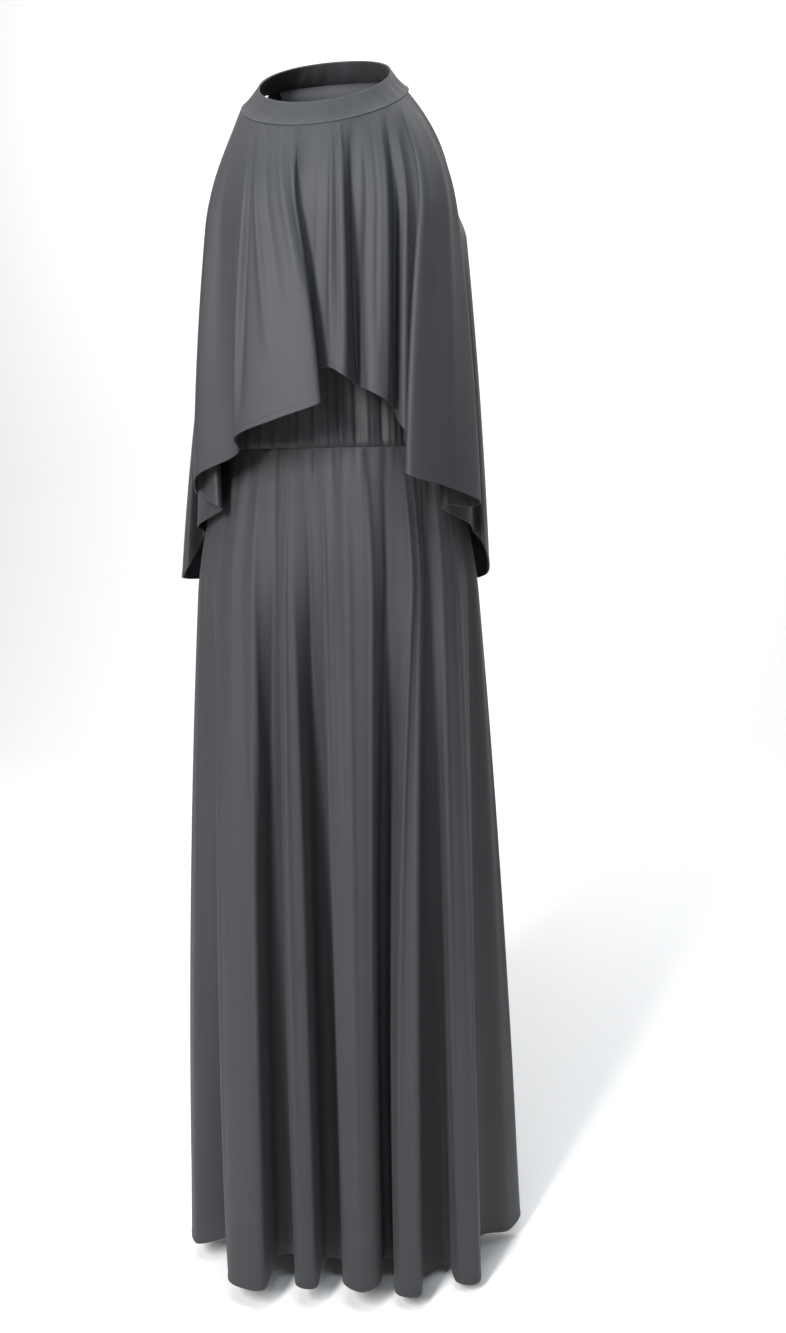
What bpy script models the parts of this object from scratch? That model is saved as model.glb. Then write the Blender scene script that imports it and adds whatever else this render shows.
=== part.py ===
# Maxi dress with a flared neckband, a popover flounce over a gathered bodice and a long folded skirt.
# The origin is the middle of the neck opening, where the wearer holds the dress up.
# Metres, +Z up, the front of the dress faces -Y, angles run from the front towards +X.
import bpy
import numpy as np

# Cloth
clothWall = 0.0012
bandWall = 0.0020
seamGap = 0.0003

# Neckband: radii of its two edges and their heights at the front, the sides and the back
bandUpper = {"side": 0.0745, "front": 0.0760, "back": 0.0760}
bandLower = {"side": 0.0950, "front": 0.0985, "back": 0.0960}
bandUpperHeight = {"front": -0.0385, "side": 0.0080, "back": 0.0500}
bandLowerHeight = {"front": -0.0675, "side": -0.0130, "back": 0.0300}
bandRoll = 0.0020
bandColumns = 56
bandRows = 3

# Armholes: the angle of each panel's edge at the neckband, and how far the edge is cut in
frontEdgeAngle = 91.0
backEdgeAngle = 124.0
frontCutIn = 5.0
backCutIn = 17.0
cutSpread = 3.0

# Waist seam, an oval
waistHeight = -0.4040
waistOval = {"side": 0.1340, "front": 0.1110, "back": 0.1050}

# Bodice: sections down from the neckband
bodiceUnderarm = -0.1750
bodiceTuck = 0.10
bodiceSections = [
    # share down, side, front, back
    (0.00, 0.0875, 0.0910, 0.0885),
    (0.18, 0.1080, 0.1020, 0.0980),
    (0.40, 0.1290, 0.1160, 0.1050),
    (0.58, 0.1300, 0.1140, 0.1040),
    (0.80, 0.1310, 0.1100, 0.1030),
    (1.00, 0.1340, 0.1110, 0.1050),
]
bodiceFrontEdge = 82.0
bodiceFrontCut = 9.0
bodiceBackEdge = 132.0
bodiceBackCut = 16.0
bodiceGathers = 12
bodiceGatherDepth = 0.0022
bodiceGatherStart = 0.62
bodiceRows = 8

# Flounce: one row for each turn of the cloth, from the left seam round the front to the right seam
flounceBustHeight = -0.1650
flounceBustShare = 0.34
flounceRows = 8
flounceSteps = 3
flounceFlare = 0.30
flounceLeaveLeft = 1.45
flounceLeaveRight = 2.30
flounceFront = [
    # name, neck angle, bust angle, bust radius, hem angle, hem radius, hem height
    ("left seam", -91.0, -90.0, 0.1390, -90.0, 0.1680, -0.5050),
    ("left inner side", -85.0, -82.0, 0.1380, -75.0, 0.1670, -0.4920),
    ("left inner back", -80.0, -75.0, 0.1365, -57.0, 0.1500, -0.4760),
    ("left inner round", -75.5, -69.0, 0.1385, -47.0, 0.1520, -0.4700),
    ("left inner front", -71.5, -64.0, 0.1420, -46.0, 0.1590, -0.4660),
    ("left inner bend", -68.0, -60.5, 0.1435, -58.5, 0.1630, -0.4560),
    ("left inner turn", -65.5, -58.0, 0.1460, -59.5, 0.1690, -0.4520),
    ("left ridge", -61.0, -51.0, 0.1475, -51.5, 0.1760, -0.4330),
    ("left return", -50.0, -37.0, 0.1400, -31.0, 0.1560, -0.4080),
    ("left panel edge", -43.0, -24.5, 0.1500, -26.0, 0.1740, -0.3920),
    ("left panel", -26.0, -15.0, 0.1520, -8.0, 0.1740, -0.3740),
    ("left panel end", -9.0, -1.0, 0.1480, 7.0, 0.1710, -0.3590),
    ("left panel turn", -5.5, -1.5, 0.1425, 5.5, 0.1640, -0.3550),
    ("left under fold", -1.0, -3.5, 0.1380, -6.0, 0.1530, -0.3440),
    ("centre valley", 6.0, 4.0, 0.1320, 2.0, 0.1370, -0.3260),
    ("centre ridge", 14.0, 12.0, 0.1370, 10.0, 0.1440, -0.3210),
    ("centre step", 20.0, 16.0, 0.1400, 15.5, 0.1490, -0.3310),
    ("right valley", 30.0, 25.0, 0.1290, 22.0, 0.1300, -0.3390),
    ("right panel edge", 38.0, 31.0, 0.1420, 26.0, 0.1530, -0.3460),
    ("right panel", 46.0, 36.0, 0.1460, 33.0, 0.1570, -0.3570),
    ("dark valley", 53.0, 43.0, 0.1370, 40.5, 0.1390, -0.3670),
    ("narrow strip", 57.5, 47.0, 0.1430, 41.0, 0.1540, -0.3860),
    ("right under fold", 61.5, 52.0, 0.1450, 51.0, 0.1560, -0.4080),
    ("right under turn", 64.5, 53.5, 0.1495, 51.5, 0.1640, -0.4170),
    ("outer panel edge", 67.5, 49.5, 0.1560, 38.5, 0.1685, -0.4310),
    ("outer panel start", 69.5, 50.0, 0.1610, 38.0, 0.1755, -0.4350),
    ("outer panel", 72.0, 62.0, 0.1620, 54.0, 0.1810, -0.4490),
    ("outer ridge", 75.0, 73.0, 0.1610, 76.0, 0.1830, -0.4690),
    ("right inner turn", 78.0, 78.0, 0.1550, 79.0, 0.1690, -0.4740),
    ("right inner front", 80.5, 79.0, 0.1510, 62.0, 0.1610, -0.4700),
    ("right inner round", 82.5, 80.5, 0.1470, 62.5, 0.1535, -0.4730),
    ("right inner back", 85.0, 83.0, 0.1440, 70.0, 0.1485, -0.4790),
    ("right inner side", 88.0, 87.0, 0.1470, 84.0, 0.1630, -0.4940),
]
flounceBack = [
    # name, neck angle, bust angle, bust radius, hem angle, hem radius, hem height
    ("right seam", 87.0, 90.0, 0.1510, 96.0, 0.1660, -0.5080),
    ("right drop edge", 128.0, 96.0, 0.1550, 93.0, 0.1760, -0.5200),
    ("right drop", 133.0, 105.0, 0.1570, 110.0, 0.1870, -0.5600),
    ("back valley 1", 140.0, 117.0, 0.1450, 121.0, 0.1700, -0.5720),
    ("back ridge 1", 147.0, 128.0, 0.1410, 133.0, 0.1880, -0.5800),
    ("back valley 2", 155.0, 141.0, 0.1270, 147.0, 0.1600, -0.5860),
    ("back ridge 2", 164.0, 153.0, 0.1300, 157.0, 0.1800, -0.5920),
    ("back valley 3", 172.0, 166.0, 0.1230, 171.0, 0.1530, -0.5950),
    ("back ridge 3", 181.0, 179.0, 0.1280, 183.0, 0.1780, -0.5960),
    ("back valley 4", 190.0, 192.0, 0.1230, 197.0, 0.1530, -0.5940),
    ("back ridge 4", 200.0, 206.0, 0.1310, 210.0, 0.1820, -0.5890),
    ("back valley 5", 209.0, 219.0, 0.1290, 223.0, 0.1620, -0.5800),
    ("back ridge 5", 217.0, 232.0, 0.1370, 236.0, 0.1900, -0.5720),
    ("back valley 6", 224.0, 245.0, 0.1350, 248.0, 0.1730, -0.5640),
    ("left drop", 229.0, 257.0, 0.1450, 266.0, 0.2010, -0.5600),
    ("left drop edge", 232.0, 265.0, 0.1450, 277.0, 0.1880, -0.5480),
]

# Skirt: one row for each turn of the cloth, three to a fold, hips then hem
skirtHipHeight = -0.5800
skirtRows = 8
skirtSteps = 3
skirtFront = [
    # name, hip angle, hip radius, hem angle, hem radius, hem height
    ("left seam", -90.0, 0.1720, -88.0, 0.2240, -1.4400),
    ("fold 1 end", -75.0, 0.1680, -75.0, 0.2160, -1.4420),
    ("valley 1", -64.0, 0.1550, -67.0, 0.1650, -1.4270),
    ("fold 2 start", -53.0, 0.1530, -50.0, 0.1880, -1.4380),
    ("fold 2 end", -35.0, 0.1440, -38.5, 0.1790, -1.4360),
    ("valley 2", -25.0, 0.1290, -46.0, 0.1120, -1.4310),
    ("fold 3 start", -18.0, 0.1330, -24.0, 0.1360, -1.4360),
    ("fold 3 end", -11.0, 0.1310, -14.5, 0.1260, -1.4380),
    ("valley 3", -4.0, 0.1210, -18.0, 0.0680, -1.4400),
    ("fold 4 start", 4.0, 0.1270, 2.0, 0.1160, -1.4340),
    ("fold 4 middle", 16.0, 0.1250, 13.0, 0.1270, -1.4360),
    ("fold 4 end", 28.0, 0.1290, 23.5, 0.1170, -1.4350),
    ("valley 4", 38.0, 0.1210, 47.0, 0.0640, -1.4390),
    ("fold 5 start", 45.0, 0.1340, 35.0, 0.1270, -1.4500),
    ("fold 5 end", 52.0, 0.1340, 42.0, 0.1420, -1.4500),
    ("valley 5", 59.0, 0.1290, 68.0, 0.1150, -1.4560),
    ("fold 6 start", 66.0, 0.1420, 65.0, 0.1560, -1.4590),
    ("fold 6 end", 78.0, 0.1520, 71.0, 0.1790, -1.4600),
]
skirtBack = [
    # name, hip angle, hip radius, hem angle, hem radius, hem height
    ("right seam", 90.0, 0.1570, 92.0, 0.1640, -1.4430),
    ("fold 7 start", 98.0, 0.1680, 101.0, 0.2060, -1.4520),
    ("fold 7 end", 106.0, 0.1660, 108.0, 0.2250, -1.4450),
    ("valley 7", 114.0, 0.1570, 116.0, 0.1540, -1.4420),
    ("fold 8 start", 122.0, 0.1590, 124.0, 0.1930, -1.4480),
    ("fold 8 end", 130.0, 0.1540, 133.0, 0.2020, -1.4500),
    ("valley 8", 138.0, 0.1430, 140.0, 0.1280, -1.4430),
    ("fold 9 start", 146.0, 0.1470, 147.0, 0.1700, -1.4460),
    ("fold 9 end", 155.0, 0.1440, 155.5, 0.1740, -1.4480),
    ("valley 9", 164.0, 0.1330, 164.0, 0.1040, -1.4420),
    ("fold 10 start", 172.0, 0.1400, 173.0, 0.1490, -1.4450),
    ("fold 10 end", 182.0, 0.1400, 183.0, 0.1530, -1.4480),
    ("valley 10", 191.0, 0.1310, 190.0, 0.1000, -1.4420),
    ("fold 11 start", 199.0, 0.1400, 196.0, 0.1520, -1.4470),
    ("fold 11 end", 208.0, 0.1430, 206.0, 0.1640, -1.4500),
    ("valley 11", 217.0, 0.1360, 213.0, 0.1180, -1.4440),
    ("fold 12 start", 225.0, 0.1480, 220.0, 0.1760, -1.4450),
    ("fold 12 end", 234.0, 0.1530, 230.0, 0.1890, -1.4480),
    ("valley 12", 243.0, 0.1480, 237.0, 0.1430, -1.4420),
    ("fold 13 start", 250.0, 0.1600, 244.0, 0.1980, -1.4440),
    ("fold 13 end", 257.0, 0.1650, 252.0, 0.2100, -1.4450),
    ("valley 13", 263.0, 0.1640, 261.0, 0.1800, -1.4400),
]

# Colours
jersey = (0.030, 0.031, 0.034)
jerseyDark = (0.026, 0.027, 0.030)


def ovalRadius(angle, oval):
    # distance from the middle to an oval with its own side, front and back half widths
    sideways = np.sin(angle)
    ahead = np.cos(angle)
    depth = np.where(ahead >= 0.0, oval["front"], oval["back"])
    return 1.0 / np.sqrt((sideways / oval["side"]) ** 2 + (ahead / depth) ** 2)


def ringHeight(angle, heights):
    # front, side and back heights joined by a cosine and its square
    ahead = np.cos(angle)
    tilt = 0.5 * (heights["front"] - heights["back"])
    bow = 0.5 * (heights["front"] + heights["back"]) - heights["side"]
    return heights["side"] + tilt * ahead + bow * ahead ** 2


def polar(angle, radius, height):
    # angle from the front towards +X
    height = np.broadcast_to(height, np.shape(angle))
    return np.stack([radius * np.sin(angle), -radius * np.cos(angle), height], axis=-1)


def bandPoint(angle, share):
    # share 0 is the lower edge and 1 the upper edge; a small roll bows the strip
    low = polar(angle, ovalRadius(angle, bandLower), ringHeight(angle, bandLowerHeight))
    high = polar(angle, ovalRadius(angle, bandUpper), ringHeight(angle, bandUpperHeight))
    share = np.asarray(share)[..., None]
    point = low + (high - low) * share
    bow = bandRoll * 4.0 * share * (1.0 - share)
    return point - np.array([0.0, 0.0, 1.0]) * bow


def bandInside(angle, share, depth):
    # a point under the strip's inner face, and the way down along the strip there
    low = bandPoint(angle, np.full_like(angle, share))
    high = bandPoint(angle, np.full_like(angle, share + 0.05))
    down = (low - high) / np.linalg.norm(low - high, axis=-1, keepdims=True)
    around = np.stack([np.cos(angle), np.sin(angle), np.zeros_like(angle)], axis=-1)
    outward = np.cross(down, around)
    outward = outward / np.linalg.norm(outward, axis=-1, keepdims=True)
    outward = outward * np.sign(outward[..., 2:])
    return low - outward * depth, down


def alongLoop(points, place):
    # smooth closed curve through points; place counts points, with knots at the root of the chord
    count = len(points)
    first = np.floor(place).astype(int)
    part = (place - first)[:, None]
    before = points[(first - 1) % count]
    start = points[first % count]
    end = points[(first + 1) % count]
    after = points[(first + 2) % count]

    def knot(a, b):
        return np.sqrt(np.linalg.norm(b - a, axis=1) + 1e-9)[:, None]

    k0 = np.zeros((len(place), 1))
    k1 = k0 + knot(before, start)
    k2 = k1 + knot(start, end)
    k3 = k2 + knot(end, after)
    k = k1 + (k2 - k1) * part
    a1 = (k1 - k) / (k1 - k0) * before + (k - k0) / (k1 - k0) * start
    a2 = (k2 - k) / (k2 - k1) * start + (k - k1) / (k2 - k1) * end
    a3 = (k3 - k) / (k3 - k2) * end + (k - k2) / (k3 - k2) * after
    b1 = (k2 - k) / (k2 - k0) * a1 + (k - k0) / (k2 - k0) * a2
    b2 = (k3 - k) / (k3 - k1) * a2 + (k - k1) / (k3 - k1) * a3
    return (k2 - k) / (k2 - k1) * b1 + (k - k1) / (k2 - k1) * b2


def hang(top, middle, hem, down, split, curve, leave):
    # top, middle and hem are (columns, 3); down is the share from top to hem, middle at split
    # below the middle the cloth runs to the hem and flares most at first, by curve
    # above it a cubic leaves the top by leave and meets the lower part in one slope
    down = np.asarray(down)[None, :, None]
    low = np.clip((down - split) / (1.0 - split), 0.0, 1.0)
    lower = middle[:, None] + (hem - middle)[:, None] * np.concatenate(
        [low * (1.0 + curve * (1.0 - low))] * 2 + [low], axis=2)
    high = np.clip(down / split, 0.0, 1.0)
    rate = (middle - top)[:, 2:] / (hem - middle)[:, 2:]
    slope = (hem - middle) * (1.0 + curve) * rate
    begin = (middle - top) * leave
    h00 = 2 * high ** 3 - 3 * high ** 2 + 1
    h10 = high ** 3 - 2 * high ** 2 + high
    h01 = 3 * high ** 2 - 2 * high ** 3
    h11 = high ** 3 - high ** 2
    upper = h00 * top[:, None] + h10 * begin[:, None] + h01 * middle[:, None] + h11 * slope[:, None]
    straight = top[:, None] + (middle - top)[:, None] * high
    upper[..., 2] = straight[..., 2]
    return np.where(down < split, upper, lower)


def column(rows, index):
    return np.array([row[index] for row in rows], dtype=float)


def turn(points, angle):
    # points turned about the upright axis, by an angle for each point
    cosine = np.cos(angle)
    sine = np.sin(angle)
    x = points[..., 0] * cosine - points[..., 1] * sine
    y = points[..., 0] * sine + points[..., 1] * cosine
    return np.stack([x, y, points[..., 2]], axis=-1)


def places(start, end, steps):
    # even places from start to end, with one more beyond each end
    step = 1.0 / steps
    return np.linspace(start - step, end + step, (end - start) * steps + 3)


def beyond(values):
    # values with one more in line at each end
    return np.concatenate([[2 * values[0] - values[1]], values, [2 * values[-1] - values[-2]]])


def flounceGrid(panel):
    # panel is front or back; the table makes one closed ring, shared at the side seams
    ring = flounceFront + flounceBack
    frontCount = len(flounceFront)
    whole = len(ring)
    bust = polar(np.radians(column(ring, 2)), column(ring, 3), flounceBustHeight)
    hem = polar(np.radians(column(ring, 4)), column(ring, 5), column(ring, 6))
    neckAngles = column(ring, 1)
    if panel == "front":
        first, last = 0, frontCount
        known = np.append(neckAngles[:frontCount], frontEdgeAngle)
        cut = frontCutIn
    else:
        first, last = frontCount, whole
        known = np.append(neckAngles[frontCount:], 360.0 - backEdgeAngle)
        known[0] = backEdgeAngle
        cut = backCutIn
    spots = places(first, last, flounceSteps)
    neck = np.radians(np.interp(spots, np.arange(first - 1, last + 2), beyond(known)))
    low = bandPoint(neck, np.zeros_like(neck))
    high = bandPoint(neck, np.full_like(neck, 0.05))
    away = (low - high) / np.linalg.norm(low - high, axis=1, keepdims=True)
    top = low + away * seamGap
    middle = alongLoop(bust, spots)
    bottom = alongLoop(hem, spots)
    down = np.linspace(0.0, 1.0, flounceRows + 1)
    rightward = np.clip(np.sin(neck), 0.0, 1.0)[:, None] ** 2
    leave = flounceLeaveLeft + (flounceLeaveRight - flounceLeaveLeft) * rightward
    grid = hang(top, middle, bottom, down, flounceBustShare, flounceFlare, leave)
    high = np.clip(down / flounceBustShare, 0.0, 1.0)
    bulge = np.sin(np.pi * high ** 2) * (high < 1.0)
    leftNear = np.exp(-((spots - first) / cutSpread) ** 2)
    rightNear = np.exp(-((last - spots) / cutSpread) ** 2)
    amount = np.radians(cut) * (leftNear - rightNear)[:, None] * bulge[None, :]
    return turn(grid, amount), away[1:-1]


def skirtGrid(panel):
    ring = skirtFront + skirtBack
    frontCount = len(skirtFront)
    whole = len(ring)
    hip = polar(np.radians(column(ring, 1)), column(ring, 2), skirtHipHeight)
    hem = polar(np.radians(column(ring, 3)), column(ring, 4), column(ring, 5))
    angles = column(ring, 1)
    angles = np.concatenate([angles[-1:] - 360.0, angles, angles[:2] + 360.0])
    if panel == "front":
        spots = places(0, frontCount, skirtSteps)
    else:
        spots = places(frontCount, whole, skirtSteps)
    waist = np.radians(np.interp(spots, np.arange(-1, whole + 2), angles))
    top = polar(waist, ovalRadius(waist, waistOval), waistHeight - 0.5 * seamGap)
    share = np.linspace(0.0, 1.0, skirtRows + 1)
    down = np.interp(share, [0.0, 0.2, 0.4, 1.0], [0.0, 0.085, 0.22, 1.0])
    return hang(top, alongLoop(hip, spots), alongLoop(hem, spots), down, 0.17, 0.38, 1.25)


def bodiceGrid(panel):
    # sections by share down, joined by a smooth curve; gathers grow into the waist seam
    table = np.array(bodiceSections)
    down = np.linspace(0.0, 1.0, bodiceRows + 1)
    split = 4.0 / bodiceRows
    side = np.interp(down, table[:, 0], table[:, 1])
    front = np.interp(down, table[:, 0], table[:, 2])
    back = np.interp(down, table[:, 0], table[:, 3])
    high = np.clip(down / split, 0.0, 1.0)
    curve = high * high * (3.0 - 2.0 * high)
    bulge = np.sin(np.pi * high ** 2) * (high < 1.0)
    if panel == "front":
        edge = bodiceFrontEdge + (90.0 - bodiceFrontEdge) * curve - bodiceFrontCut * bulge
        centre = 0.0
    else:
        edge = 180.0 - (bodiceBackEdge + (90.0 - bodiceBackEdge) * curve + bodiceBackCut * bulge)
        centre = 180.0
    step = 0.5 / bodiceGathers
    across = np.linspace(-1.0 - step, 1.0 + step, bodiceGathers * 4 + 3)[:, None]
    angle = np.radians(centre + across * edge[None, :])
    neckHeight = ringHeight(angle[:, :1], bandLowerHeight)
    lowHeight = waistHeight + 0.5 * seamGap
    height = np.where(
        down[None, :] < split,
        neckHeight + (bodiceUnderarm - neckHeight) * high[None, :],
        bodiceUnderarm + (lowHeight - bodiceUnderarm) * ((down - split) / (1.0 - split))[None, :])
    radius = ovalRadius(angle, {"side": side[None, :], "front": front[None, :], "back": back[None, :]})
    grow = np.clip((down - bodiceGatherStart) / 0.25, 0.0, 1.0) * np.clip((1.0 - down) / 0.06, 0.0, 1.0)
    wave = np.cos(2.0 * np.pi * bodiceGathers * 0.5 * (across + 1.0))
    radius = radius + bodiceGatherDepth * grow[None, :] * wave
    grid = polar(angle, radius, height)
    grid[:, 0], start = bandInside(angle[:, 0], bodiceTuck, 0.5 * bandWall + seamGap + 0.5 * clothWall)
    return grid, start[1:-1]


def sheetSolid(name, grid, wall, closed, colour, roughness, start=None, finish=None):
    # the grid moved out and in by half a wall, joined round its edges
    # an open grid has one spare column beyond each end, used for its slopes and then left off
    # start and finish are the ways the cloth leaves its top and reaches its bottom, where a seam sets them
    if closed:
        along = np.roll(grid, -1, axis=0) - np.roll(grid, 1, axis=0)
    else:
        along = grid[2:] - grid[:-2]
        grid = grid[1:-1].copy()
    along = along / np.linalg.norm(along, axis=2, keepdims=True)
    downward = np.gradient(grid, axis=1)
    if start is not None:
        downward[:, 0] = start
    if finish is not None:
        downward[:, -1] = finish
    normal = np.cross(downward, along)
    normal = normal / np.linalg.norm(normal, axis=2, keepdims=True)
    if not closed:
        grid[0] += along[0] * 0.5 * seamGap
        grid[-1] -= along[-1] * 0.5 * seamGap
    outer = grid + normal * 0.5 * wall
    inner = grid - normal * 0.5 * wall
    columns, rows = grid.shape[:2]
    points = np.concatenate([outer.reshape(-1, 3), inner.reshape(-1, 3)])
    index = np.arange(columns * rows).reshape(columns, rows)
    if closed:
        index = np.concatenate([index, index[:1]])
    a = index[:-1, :-1].ravel()
    b = index[1:, :-1].ravel()
    c = index[1:, 1:].ravel()
    d = index[:-1, 1:].ravel()
    back = columns * rows
    faces = [np.stack([a, d, c, b], axis=1)]
    faces.append(np.stack([a, b, c, d], axis=1) + back)
    for line, flip in ((index[:, 0], False), (index[:, -1], True)):
        e = line[:-1]
        f = line[1:]
        rim = np.stack([e, f, f + back, e + back], axis=1)
        faces.append(rim[:, ::-1] if flip else rim)
    if not closed:
        for line, flip in ((index[0], True), (index[-1], False)):
            e = line[:-1]
            f = line[1:]
            rim = np.stack([e, f, f + back, e + back], axis=1)
            faces.append(rim[:, ::-1] if flip else rim)
    faces = np.concatenate(faces)
    mesh = bpy.data.meshes.new(name)
    mesh.from_pydata(points.tolist(), [], faces.tolist())
    mesh.update()
    corner = points[faces]
    volume = np.einsum("ij,ij->i", corner[:, 0], np.cross(corner[:, 1], corner[:, 2])).sum()
    volume += np.einsum("ij,ij->i", corner[:, 0], np.cross(corner[:, 2], corner[:, 3])).sum()
    if volume < 0.0:
        mesh.flip_normals()
    mesh.polygons.foreach_set("use_smooth", np.ones(len(mesh.polygons), dtype=bool))
    material = bpy.data.materials.new(name + " jersey")
    material.use_nodes = True
    shader = material.node_tree.nodes["Principled BSDF"]
    shader.inputs["Base Color"].default_value = (*colour, 1.0)
    shader.inputs["Roughness"].default_value = roughness
    shader.inputs["Metallic"].default_value = 0.0
    mesh.materials.append(material)
    piece = bpy.data.objects.new(name, mesh)
    bpy.context.scene.collection.objects.link(piece)
    return piece


for old in list(bpy.data.objects):
    bpy.data.objects.remove(old, do_unlink=True)

# Neckband
around = np.linspace(0.0, 2.0 * np.pi, bandColumns, endpoint=False)
across = np.linspace(0.0, 1.0, bandRows + 1)
bandGrid = bandPoint(np.repeat(around[:, None], bandRows + 1, axis=1),
                     np.repeat(across[None, :], bandColumns, axis=0))
sheetSolid("neckband", bandGrid, bandWall, True, jersey, 0.70)

# Bodice
plumb = np.array([0.0, 0.0, -1.0])
frontGrid, frontStart = bodiceGrid("front")
backGrid, backStart = bodiceGrid("back")
sheetSolid("bodice_front", frontGrid, clothWall, False, jerseyDark, 0.75, frontStart, plumb)
sheetSolid("bodice_back", backGrid, clothWall, False, jerseyDark, 0.75, backStart, plumb)

# Flounce
frontGrid, frontStart = flounceGrid("front")
backGrid, backStart = flounceGrid("back")
sheetSolid("overlay_front", frontGrid, clothWall, False, jersey, 0.70, frontStart)
sheetSolid("overlay_back", backGrid, clothWall, False, jersey, 0.70, backStart)

# Skirt
sheetSolid("skirt_front", skirtGrid("front"), clothWall, False, jersey, 0.70, start=plumb)
sheetSolid("skirt_back", skirtGrid("back"), clothWall, False, jersey, 0.70, start=plumb)
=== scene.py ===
import bpy
import numpy as np
from mathutils import Matrix


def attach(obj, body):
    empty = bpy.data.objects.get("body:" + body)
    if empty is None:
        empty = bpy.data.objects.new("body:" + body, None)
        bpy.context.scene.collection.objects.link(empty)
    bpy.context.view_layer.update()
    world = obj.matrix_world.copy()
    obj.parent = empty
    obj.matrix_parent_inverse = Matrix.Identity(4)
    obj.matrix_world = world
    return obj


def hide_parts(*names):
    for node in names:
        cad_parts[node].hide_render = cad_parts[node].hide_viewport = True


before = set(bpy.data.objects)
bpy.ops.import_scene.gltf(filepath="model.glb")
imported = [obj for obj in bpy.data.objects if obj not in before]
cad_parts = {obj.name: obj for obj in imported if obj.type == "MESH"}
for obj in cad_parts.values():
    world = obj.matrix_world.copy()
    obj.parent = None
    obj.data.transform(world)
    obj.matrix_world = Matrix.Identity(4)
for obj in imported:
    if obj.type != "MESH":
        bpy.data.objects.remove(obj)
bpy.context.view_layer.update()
print("frame loaded")

cloth = {
    "wall": 0.0009,  # jersey with its nap
    "bandWall": 0.0019,  # doubled strip
    "seamGap": 0.0003,
    "hemWidth": 0.0065,  # folded hem, up to its stitch line
    "hemExtra": 0.0007,  # more thickness where the hem is folded
}


def radians(value):
    # degrees * pi / 180
    return np.radians(value)


def ovalRadius(angle, oval):
    # radius of an oval = 1 / root of (sine / side)^2 + (cosine / depth)^2, depth by front or back
    ahead = np.cos(angle)
    depth = np.where(ahead >= 0.0, oval["front"], oval["back"])
    return 1.0 / np.sqrt((np.sin(angle) / oval["side"]) ** 2 + (ahead / depth) ** 2)


def ringHeight(angle, heights):
    # height = side + tilt * cosine + bow * cosine squared
    ahead = np.cos(angle)
    tilt = 0.5 * (heights["front"] - heights["back"])
    bow = 0.5 * (heights["front"] + heights["back"]) - heights["side"]
    return heights["side"] + tilt * ahead + bow * ahead**2


def polar(angle, radius, height):
    # x = r sine, y = -r cosine
    height = np.broadcast_to(height, np.shape(angle))
    return np.stack([radius * np.sin(angle), -radius * np.cos(angle), height], axis=-1)


def unit(vectors):
    # each vector / its length
    return vectors / (np.linalg.norm(vectors, axis=-1, keepdims=True) + 1e-12)


def alongLoop(points, place):
    # smooth closed curve through points, knots at the root of each chord; place counts the points
    count = len(points)
    first = np.floor(place).astype(int)
    part = (place - first)[:, None]
    before, start = points[(first - 1) % count], points[first % count]
    end, after = points[(first + 1) % count], points[(first + 2) % count]

    def knot(a, b):
        # root of the chord's length
        return np.sqrt(np.linalg.norm(b - a, axis=1) + 1e-9)[:, None]

    k1 = knot(before, start)
    k2 = k1 + knot(start, end)
    k3 = k2 + knot(end, after)
    k = k1 + (k2 - k1) * part
    a1 = (k1 - k) / k1 * before + k / k1 * start
    a2 = (k2 - k) / (k2 - k1) * start + (k - k1) / (k2 - k1) * end
    a3 = (k3 - k) / (k3 - k2) * end + (k - k2) / (k3 - k2) * after
    b1 = (k2 - k) / k2 * a1 + k / k2 * a2
    b2 = (k3 - k) / (k3 - k1) * a2 + (k - k1) / (k3 - k1) * a3
    return (k2 - k) / (k2 - k1) * b1 + (k - k1) / (k2 - k1) * b2


def hang(top, middle, hem, down, split, flare, leave):
    # below split: middle + (hem - middle) * v * (1 + flare * (1 - v)); above it a cubic that
    # leaves the top by leave and meets the lower part in one slope; flare is one for each column
    down = np.asarray(down)[None, :, None]
    flare = np.reshape(flare, (-1, 1))
    low = np.clip((down - split) / (1.0 - split), 0.0, 1.0)
    bent = low * (1.0 + flare[:, None] * (1.0 - low))
    low = np.broadcast_to(low, bent.shape)
    lower = middle[:, None] + (hem - middle)[:, None] * np.concatenate([bent, bent, low], axis=2)
    high = np.clip(down / split, 0.0, 1.0)
    rate = (middle - top)[:, 2:] / (hem - middle)[:, 2:]
    slope = (hem - middle) * (1.0 + flare) * rate
    begin = (middle - top) * leave
    h00 = 2 * high**3 - 3 * high**2 + 1
    h10 = high**3 - 2 * high**2 + high
    h01 = 3 * high**2 - 2 * high**3
    h11 = high**3 - high**2
    upper = h00 * top[:, None] + h10 * begin[:, None] + h01 * middle[:, None] + h11 * slope[:, None]
    upper[..., 2] = (top[:, None] + (middle - top)[:, None] * high)[..., 2]
    return np.where(down < split, upper, lower)


def column(rows, index):
    # one column of a table as numbers
    return np.array([row[index] for row in rows], dtype=float)


def turn(points, angle):
    # turned about the upright axis
    c, s = np.cos(angle), np.sin(angle)
    x, y = points[..., 0], points[..., 1]
    return np.stack([x * c - y * s, x * s + y * c, points[..., 2]], axis=-1)


def beyond(values):
    # one more value at each end, as far on as its neighbour is back
    return np.concatenate([[2 * values[0] - values[1]], values, [2 * values[-1] - values[-2]]])


def evenPlaces(points, first, last, count):
    # places in the table spread evenly by the length of cloth, with one more beyond each end
    fine = np.linspace(first, last, 4001)
    steps = np.linalg.norm(np.diff(alongLoop(points, fine), axis=0), axis=1) + 2e-5
    length = np.concatenate([[0.0], np.cumsum(steps)])
    spots = np.interp(np.linspace(0.0, length[-1], count), length, fine)
    return beyond(spots)


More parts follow.
